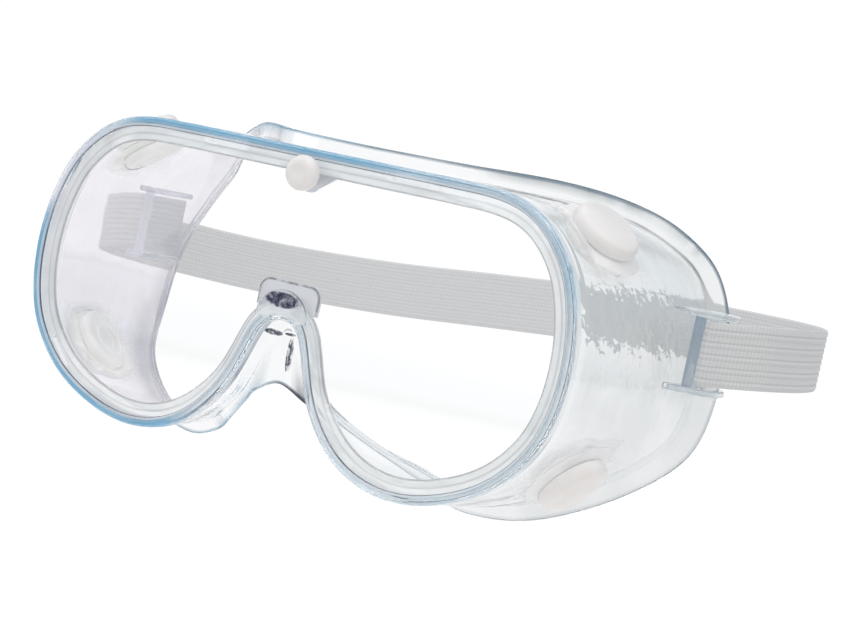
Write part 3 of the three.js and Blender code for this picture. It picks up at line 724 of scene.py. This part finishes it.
# ------------------------------------------------------------------ vents
def build_vent_cap(place, frame):
    """Domed cap with a hollow stem, slotted crosswise."""
    name = "vent_cap_cover_" + place
    cap = add_object(name, lathe(name, [
        (0, 0.6), (2.5, 0.6, 0.2, 3), (2.5, -4.0, 0.3, 3), (3.4, -4.0, 0.3, 3),
        (3.4, 0.5, 0.2, 3), (8.4, 0.45, 0.4, 4), (9.0, 0.8, 0.4, 4), (9.0, 2.7, 1.5, 8),
        (8.0, 4.1, 1.6, 8), (5.0, 4.4, 1.5, 5), (0, 4.5)], frame, 96))
    for x, y in ((5, 1), (1, 5)):
        slot = plate("slot", rectangle(-x, x, -y, y), -6, 0.1, "XY")
        slot.transform(in_metres(frame))
        cut_from(cap, slot)
    shade(cap.data, 38)
    register(cap, "cap_" + place, "vent_cap_" + place)
    return cap


def build_vent_seat(place, frame):
    """Ridged disc on the inner side of the web, with a cup through its hole."""
    name = "vent_seat_cup_" + place
    seat = add_object(name, lathe(name, [
        (0, -4.9), (2.6, -4.9, 0.2, 3), (2.8, -5.1, 0.2, 3), (3.6, -5.1, 0.2, 3),
        (3.9, -4.95, 0.2, 3), (5.6, -4.95, 0.2, 3), (5.9, -5.15, 0.2, 3), (7.6, -5.15, 0.9, 6),
        (8.7, -4.6, 0.7, 6), (8.7, -2.7, 0.4, 4), (8.3, -2.35, 0.3, 3), (5.0, -2.35, 0.2, 3),
        (5.0, 0.4, 0.2, 3), (3.7, 0.4, 0.2, 3), (3.7, -4.4, 0.2, 3), (0, -4.4)], frame, 96))
    shade(seat.data, 35)
    register(seat, "frame", "vent_seat_" + place)
    return seat


# ------------------------------------------------------------------ strap
RIBS, RIB_STEPS = 10, 8                # ribs across the band, points to each
STRAP_WIDTH, STRAP_THICK = 16.4, 1.2
STRAP_EDGE = 0.45                      # reach of the rounded edges
LOOP_RADIUS = PIN[2] + 0.35 + STRAP_THICK / 2
LOOP_WRAP = 0.29                       # radians round the pin past its front


def strap_end(sx):
    """Tail beside the wall, then round the front of the pin."""
    points = list(centripetal(STRAP_TAIL, False, 10))
    for i in range(21):
        a = math.pi + i / 20 * (math.pi / 2 + LOOP_WRAP)
        points.append(vec(PIN[0] + LOOP_RADIUS * math.cos(a),
                          PIN[1] + LOOP_RADIUS * math.sin(a), 11))
    return [p * vec(sx, 1, 1) for p in points]


def strap_line():
    path = centripetal(STRAP_PATH, False, 60)
    s = arc_lengths(path)
    # drop the ends, where the loops already reach
    path = path[between(s, 0.4, s[-1] - 0.4)]
    return np.array(strap_end(1) + list(path) + strap_end(-1)[::-1])


def strap_section(groove):
    """Section (across the thickness, z) with grooves of a given depth on both faces."""
    steps = RIBS * RIB_STEPS
    flat = STRAP_WIDTH - 2 * STRAP_EDGE
    face = [(STRAP_THICK / 2 - groove * (1 - abs(math.sin(math.pi * RIBS * k / steps)) ** 0.7),
             (k / steps - 0.5) * flat) for k in range(steps + 1)]
    angles = [math.pi / 2 - math.pi * k / 6 for k in range(1, 6)]
    edge = [((STRAP_THICK / 2 - 0.16) * math.sin(a), flat / 2 + STRAP_EDGE * math.cos(a))
            for a in angles]
    return face + edge + [(-h, z) for h, z in face[::-1]] + [(-h, -z) for h, z in edge]


def build_strap():
    """One ribbed elastic band, with both looped ends."""
    line = strap_line()
    lengths = arc_lengths(line)
    total = lengths[-1]
    # five times closer stations within 24 mm of the ends
    fine = np.linspace(0, total, 4000)
    density = 1 + 4.0 * (np.minimum(fine, total - fine) < 24)
    summed = np.concatenate([[0], np.cumsum(density)])[:-1]
    count = 620
    stations = np.interp(np.linspace(0, summed[-1], count), summed, fine)
    centres = along(line, lengths, stations)
    before, after = (along(line, lengths, np.clip(stations + step, 0, total))
                     for step in (-0.5, 0.5))
    tangents = after - before
    tangents[:, 2] = 0
    tangents /= np.linalg.norm(tangents, axis=1)[:, None]
    rings = []
    for centre, tangent in zip(centres, tangents):
        normal = vec(tangent[1], -tangent[0], 0)
        # the ribs are stretched flatter along the back
        section = strap_section(0.27 - 0.2 * rise(centre[1], 92, 118))
        rings.append([centre + normal * h + vec(0, 0, z) for h, z in section])
    strap = add_object("strap_elastic", loft("strap_elastic", rings, capped=True))
    shade(strap.data, 60)
    # metres along and across, for the knit
    for name, values in (("along", np.repeat(stations, len(section))),
                         ("across", np.tile([z for _, z in section], count))):
        attribute = strap.data.attributes.new(name, "FLOAT", "POINT")
        attribute.data.foreach_set("value", (values * MM).astype(np.float32))
    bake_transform(strap)
    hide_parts("strap_band", "strap_end_left", "strap_end_right")
    return strap


# ------------------------------------------------------------------ materials
class Shader:
    """Node tree of a material or world. Inputs may be values, sockets or nodes."""

    def __init__(self, owner, output="OutputMaterial"):
        self.owner = owner
        owner.use_nodes = True
        self.tree = owner.node_tree
        self.tree.nodes.clear()
        self.output = self.node(output)

    def plug(self, socket, value):
        if isinstance(value, bpy.types.Node):
            value = value.outputs[0]
        if isinstance(value, bpy.types.NodeSocket):
            self.tree.links.new(value, socket)
        else:
            socket.default_value = value

    def node(self, kind, *inputs, **settings):
        """Inputs go by position or by name; other settings are node properties."""
        made = self.tree.nodes.new("ShaderNode" + kind)
        for key, value in settings.items():
            if key in made.inputs:
                self.plug(made.inputs[key], value)
            else:
                setattr(made, key, value)
        for socket, value in zip(made.inputs, inputs):
            self.plug(socket, value)
        return made

    def math(self, operation, *inputs):
        return self.node("Math", *inputs, operation=operation)

    def mix(self, factor, first, second):
        return self.node("MixShader", factor, first, second)

    def noise(self, scale, detail, roughness=0.5):
        place = self.node("TexCoord").outputs["Object"]
        return self.node("TexNoise", Vector=place, Scale=scale, Detail=detail,
                         Roughness=roughness).outputs["Fac"]

    def remap(self, source, span=(0.0, 1.0), to=(0.0, 1.0)):
        return self.node("MapRange", **{"Value": source, "From Min": span[0],
                                        "From Max": span[1], "To Min": to[0], "To Max": to[1]})

    def ramp(self, source, stops):
        made = self.node("ValToRGB", source)
        elements = made.color_ramp.elements
        while len(elements) < len(stops):
            elements.new(0.5)
        for element, (position, rgb) in zip(elements, stops):
            element.position = position
            element.color = (*rgb, 1)
        return made

    def scatter(self, colour, through):
        """Diffuse, with a share of translucent."""
        return self.mix(through, self.node("BsdfDiffuse", Color=colour),
                        self.node("BsdfTranslucent", Color=colour))

    def see_through(self, surface, rgb):
        """Light falling on what is inside passes straight through the clear wall."""
        path = self.node("LightPath")
        passing = self.math("MAXIMUM", path.outputs["Is Shadow Ray"],
                            path.outputs["Is Diffuse Ray"])
        return self.mix(passing, surface, self.node("BsdfTransparent", Color=(*rgb, 1)))

    def finish(self, surface):
        self.plug(self.output.inputs["Surface"], surface)
        return self.owner


def new_shader(name):
    return Shader(bpy.data.materials.new(name))


NOISE = (0.3, 0.7)                     # usual span of a noise texture
# Linear fades of the rippled area: axis, coordinates (m) where it is 0 and 1.
RIPPLE_FADES = (("X", (0.070, 0.078)), ("Z", (-0.006, 0.0)), ("Z", (0.029, 0.023)),
                ("Y", (0.060, 0.052)))
# Broken painted dark reflections at the nose: centre and radii (mm), noise value where they start.
NOSE_DARK_REFLECTIONS = (((-0.4, -1.0, 2.6), (5.2, 3.0, 2.1), 0.42),
              ((-4.4, 5.0, -6.0), (2.8, 3.0, 0.8), 0.36),
              ((0.6, 5.0, -5.6), (1.6, 3.0, 0.4), 0.36),
              ((1.5, 4.4, -10.5), (0.7, 3.0, 4.6), 0.42))


def ripple_height(shader, position):
    """Sharper ripple on the upper +X side."""
    mask = None
    for axis, span in RIPPLE_FADES:
        fade = shader.remap(position.outputs[axis], span=span)
        mask = fade if mask is None else shader.math("MULTIPLY", mask, fade)
    return shader.math("MULTIPLY", mask, shader.noise(scale=330, detail=2, roughness=0.4))


def painted_nose_reflections(shader, place):
    """Strength of the painted dark reflections at the nose and of the painted dark outline round
    the nose tab.
    """
    math_node = shader.math
    speckle = shader.noise(scale=520, detail=3, roughness=0.7)
    dark_reflections = None
    for centre, radii, start in NOSE_DARK_REFLECTIONS:
        offset = shader.node("VectorMath", place, tuple(v * MM for v in centre),
                             operation="SUBTRACT")
        scaled = shader.node("VectorMath", offset, tuple(1 / (v * MM) for v in radii),
                             operation="MULTIPLY")
        distance = shader.node("VectorMath", scaled, operation="LENGTH").outputs["Value"]
        dark_reflection = math_node("MULTIPLY", shader.remap(distance, span=(0.82, 1.0), to=(0.9, 0.0)),
                         shader.remap(speckle, span=(start, start + 0.14), to=(0.15, 1.0)))
        dark_reflections = dark_reflection if dark_reflections is None else math_node("MAXIMUM", dark_reflections, dark_reflection)
    # painted dark outline: distance from the tab's corner centres, compared with the outline's
    # radius
    x, y, z = shader.node("SeparateXYZ", place).outputs
    across = math_node("MAXIMUM", math_node("SUBTRACT", math_node("ABSOLUTE", x), TAB_X * MM), 0.0)
    above = math_node("MAXIMUM", math_node("SUBTRACT", z, TAB_Z * MM), 0.0)
    reach = math_node("SQRT", math_node("ADD", math_node("MULTIPLY", across, across),
                                        math_node("MULTIPLY", above, above)))
    line = math_node("MULTIPLY", math_node("COMPARE", reach, 2.78 * MM, 0.3 * MM),
                     math_node("COMPARE", y, 2.0 * MM, 1.0 * MM))
    line = math_node("MULTIPLY", line, math_node("GREATER_THAN", z, 0.5 * MM))
    line = math_node("MULTIPLY", line, shader.remap(speckle, span=(0.40, 0.55), to=(0.15, 0.62)))
    return math_node("MAXIMUM", dark_reflections, line)


def clear_soft():
    """Clear vinyl with a side-to-side tint, the painted haze with painted shade and highlights, and
    painted dark reflections at the nose.
    """
    shader = new_shader("clear_soft_vinyl")
    waves = shader.noise(scale=60, detail=2)
    grain = shader.noise(scale=420, detail=4, roughness=0.6)
    place = shader.node("TexCoord").outputs["Object"]
    position = shader.node("SeparateXYZ", place)
    side = shader.math("ADD", shader.remap(position.outputs["X"], span=(-0.09, 0.09)),
                       shader.remap(waves, span=NOISE, to=(-0.25, 0.25)))
    tint = shader.ramp(side, [(0.1, (0.935, 0.915, 0.945)), (0.5, (0.94, 0.945, 0.955)),
                              (0.9, (0.92, 0.935, 0.935))])
    ripple = shader.node("Bump", Strength=1.0, Distance=0.00016,
                         Height=ripple_height(shader, position))
    bump = shader.node("Bump", Strength=0.3, Distance=0.0006, Height=waves, Normal=ripple)
    vinyl = shader.node("BsdfPrincipled", **{
        "IOR": 1.46, "Transmission Weight": 1.0, "Base Color": tint, "Normal": bump,
        "Roughness": shader.remap(grain, span=NOISE, to=(0.015, 0.06))})
    # a faint haze all over, then the painted zones
    surface = shader.mix(shader.remap(waves, span=NOISE, to=(0.02, 0.05)), vinyl,
                         shader.scatter((0.86, 0.87, 0.88, 1), through=0.5))
    zone = shader.node("Attribute", attribute_name="zone")
    strength = shader.math("MULTIPLY", zone.outputs["Alpha"],
                           shader.remap(waves, span=(0.35, 0.65), to=(0.75, 1.15)))
    surface = shader.mix(strength, surface, shader.scatter(zone.outputs["Color"], through=0.45))
    # painted dark reflections at the nose and a painted dark outline round the nose tab, as near
    # black diffuse
    surface = shader.mix(painted_nose_reflections(shader, place), surface,
                         shader.node("BsdfDiffuse", Color=(0.03, 0.03, 0.07, 1)))
    shader.plug(shader.output.inputs["Volume"],
                shader.node("VolumeAbsorption", Color=(0.76, 0.85, 0.89, 1), Density=15.0))
    return shader.finish(shader.see_through(surface, (0.93, 0.94, 0.95)))


def clear_hard():
    shader = new_shader("clear_hard_sheet")
    grain = shader.noise(scale=900, detail=3, roughness=0.6)
    sheet = shader.node("BsdfPrincipled", **{
        "IOR": 1.5, "Transmission Weight": 1.0, "Base Color": (0.995, 0.998, 1.0, 1),
        "Roughness": shader.remap(grain, span=NOISE, to=(0.0, 0.012))})
    return shader.finish(shader.see_through(sheet, (0.98, 0.98, 0.98)))


def milky(name, brightness):
    shader = new_shader(name)
    clouds = shader.noise(scale=180, detail=4)
    grain = shader.noise(scale=1600, detail=4, roughness=0.6)
    stops = [(position, tuple(v * brightness for v in rgb)) for position, rgb in
             ((0.3, (0.80, 0.765, 0.745)), (0.7, (0.84, 0.815, 0.80)))]
    return shader.finish(shader.node("BsdfPrincipled", **{
        "IOR": 1.46, "Subsurface Weight": 0.35, "Subsurface Scale": 0.0015,
        "Subsurface Radius": (1.0, 0.85, 0.75), "Coat Weight": 0.1,
        "Base Color": shader.ramp(clouds, stops),
        "Roughness": shader.remap(grain, span=NOISE, to=(0.3, 0.46)),
        "Normal": shader.node("Bump", Strength=0.15, Distance=0.0002, Height=grain)}))


def elastic():
    """Grey knit: crossed waves along and across the band, broken by noise."""
    shader = new_shader("elastic_knit")
    place = shader.node("CombineXYZ", *(
        shader.node("Attribute", attribute_name=name).outputs["Fac"]
        for name in ("along", "across")))
    courses = shader.node("TexWave", wave_type="BANDS", bands_direction="X", Vector=place,
                          Scale=330.0, Distortion=0.8, Detail=1.0)
    columns = shader.node("TexWave", wave_type="BANDS", bands_direction="Y", Vector=place,
                          Scale=300.0, Distortion=0.4)
    knit = shader.math("MULTIPLY", courses.outputs["Fac"], columns.outputs["Fac"])
    fuzz = shader.noise(scale=2500, detail=3, roughness=0.6)
    height = shader.math("ADD", knit, shader.remap(fuzz, to=(0.0, 0.5)))
    colour = shader.ramp(shader.remap(height, span=(0.1, 1.2)),
                         [(0.0, (0.515, 0.515, 0.515)), (1.0, (0.62, 0.62, 0.62))])
    return shader.finish(shader.node("BsdfPrincipled", **{
        "Roughness": 0.85, "Sheen Weight": 0.25, "Specular IOR Level": 0.25,
        "Base Color": colour,
        "Normal": shader.node("Bump", Strength=0.2, Distance=0.0002, Height=height)}))


def give(ob, material):
    ob.data.materials.clear()
    ob.data.materials.append(material)


# ------------------------------------------------------------------ floor, light, camera
# Surroundings by the cosine to the camera's view axis: white ahead, then a dark line and a
# pale blue ring, near white behind the camera.
FIELD = [((cosine + 1) / 2, rgb) for cosine, rgb in (
    (-1.0, (0.92, 0.92, 0.92)), (0.0, (0.86, 0.88, 0.90)), (0.35, (0.78, 0.82, 0.86)),
    (0.52, (0.44, 0.53, 0.61)), (0.72, (0.36, 0.46, 0.55)), (0.79, (0.03, 0.04, 0.06)),
    (0.84, (0.62, 0.68, 0.74)), (0.90, (0.97, 0.98, 0.98)), (0.94, (1.0, 1.0, 1.0)))]
FIELD_STRENGTH = 1.03


def bright_field(shader, kind):
    """Finish a shader that shows plain white to the camera and the field to other rays."""
    place = shader.node("TexCoord").outputs["Camera"]
    direction = shader.node("VectorMath", place, operation="NORMALIZE")
    cosine = shader.node("SeparateXYZ", direction).outputs["Z"]
    field = shader.ramp(shader.remap(cosine, span=(-1, 1)), FIELD)
    seen = shader.node("LightPath").outputs["Is Camera Ray"]
    mixed = shader.node("Mix", data_type="RGBA", Factor=seen, A=field, B=(1.0, 1.0, 1.0, 1))
    return shader.finish(shader.node(kind, Color=mixed.outputs["Result"],
                                     Strength=FIELD_STRENGTH))


def build_floor():
    half = 6.0
    mesh = bpy.data.meshes.new("floor")
    corners = [(x, y, 0) for x, y in rectangle(-half, half, -half, half)]
    mesh.from_pydata(corners, [], [(0, 1, 2, 3)])
    floor = bpy.data.objects.new("floor", mesh)
    floor.location = (0, 0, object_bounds()[0][2] - 0.001)
    scene.collection.objects.link(floor)
    give(floor, bright_field(new_shader("floor_paper"), "Emission"))


def build_world():
    world = bpy.data.worlds.new("studio")
    scene.world = world
    bright_field(Shader(world, "OutputWorld"), "Background")


# Area lights: name, place, aim (m), size (m), power (W).
LIGHTS = [
    ("key", (0.1, -0.5, 0.9), (0, 0.04, 0), (0.8, 0.6), 2.5),
    ("top", (0.0, 0.3, 1.2), (0, 0.06, 0), (1.4, 1.4), 3.0),
    ("left", (-1.0, -0.2, 0.35), (0, 0.04, 0), (0.5, 0.9), 1.2)]


def build_lights():
    for name, place, aim, size, power in LIGHTS:
        light = bpy.data.lights.new(name, "AREA")
        light.shape = "RECTANGLE"
        light.size, light.size_y = size
        light.energy = power
        lamp = add_object(name, light)
        lamp.location = place
        lamp.rotation_mode = "QUATERNION"
        lamp.rotation_quaternion = (Vector(aim) - Vector(place)).to_track_quat("-Z", "Y")


def build_camera():
    place = (0.25254652277, -0.41492858467, 0.0336917035)
    # degrees round from -Y towards +X, up from level, and about the view axis
    azimuth, elevation, roll = map(
        math.radians, (27.2453675732113, 3.365716857661067, 12.121818379738903))
    data = bpy.data.cameras.new("camera")
    camera = add_object("camera", data)
    back = vec(math.sin(azimuth) * math.cos(elevation),
               -math.cos(azimuth) * math.cos(elevation), math.sin(elevation))
    right = unit(np.cross(-back, vec(0, 0, 1)))
    up = np.cross(right, -back)
    c, s = math.cos(roll), math.sin(roll)
    columns = (c * right + s * up, -s * right + c * up, back, place)
    camera.matrix_world = Matrix([*zip(*columns), (0, 0, 0, 1)])
    data.sensor_width = 36.0
    data.lens = 83.647140864
    data.clip_start, data.clip_end = 0.01, 50
    scene.camera = camera


def set_render():
    scene.view_settings.view_transform = "Standard"
    scene.view_settings.look = "None"
    cycles = scene.cycles
    cycles.max_bounces = cycles.transmission_bounces = 28
    cycles.transparent_max_bounces = 16
    cycles.glossy_bounces = 8
    cycles.diffuse_bounces = 4
    cycles.caustics_reflective = cycles.caustics_refractive = True
    cycles.blur_glossy = 0.4


# ------------------------------------------------------------------ build
body = build_body()
lens = build_lens()
stud = build_stud()
caps, seats = [], []
for place, frame in vent_frames.items():
    caps.append(build_vent_cap(place, frame))
    seats.append(build_vent_seat(place, frame))
strap = build_strap()

give(body, clear_soft())
give(lens, clear_hard())
give(strap, elastic())
# the stud and caps use a copy of the milky plastic darkened to 0.88, painted shade that tones down
# the light they catch; the seats keep the full tone
for parts, material in (([stud] + caps, milky("milky_plastic", brightness=0.88)),
                        (seats, milky("milky_seat", brightness=1.0))):
    for part in parts:
        give(part, material)

build_floor()
build_world()
build_lights()
build_camera()
set_render()
